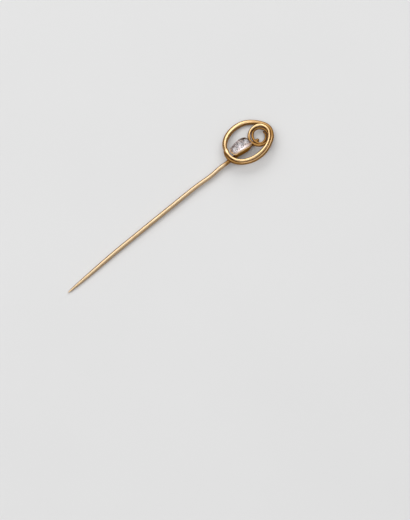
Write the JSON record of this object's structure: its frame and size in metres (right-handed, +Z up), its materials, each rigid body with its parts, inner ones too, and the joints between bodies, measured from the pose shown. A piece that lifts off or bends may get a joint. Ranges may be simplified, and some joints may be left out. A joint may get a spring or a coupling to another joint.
{
  "type": "cravat pin",
  "caption": "Gold cravat pin: a straight pointed stem with a bent neck, and an oval coiled wire head with a small loop and a short bar set with old-cut diamonds.",
  "frame": {"origin": "the middle of the bottom of the whole pin as it lies on a table: midway between the point and the head's far side, on the table's surface", "axes": "+X along the stem from the point to the head, +Y to the left of the stem, the side on which the head leans, +Z up from the table"},
  "size_m": [0.0642, 0.0117, 0.0036],
  "materials": {
    "gold": "polished yellow gold, softly worn",
    "white_metal": "bright white metal, softly worn",
    "diamond": "polished facets"
  },
  "bodies": {
    "root": {"gold_pin": "gold", "white_setting": "white_metal", "diamond_1": "diamond", "diamond_2": "diamond", "diamond_3": "diamond"}
  },
  "joints": []
}
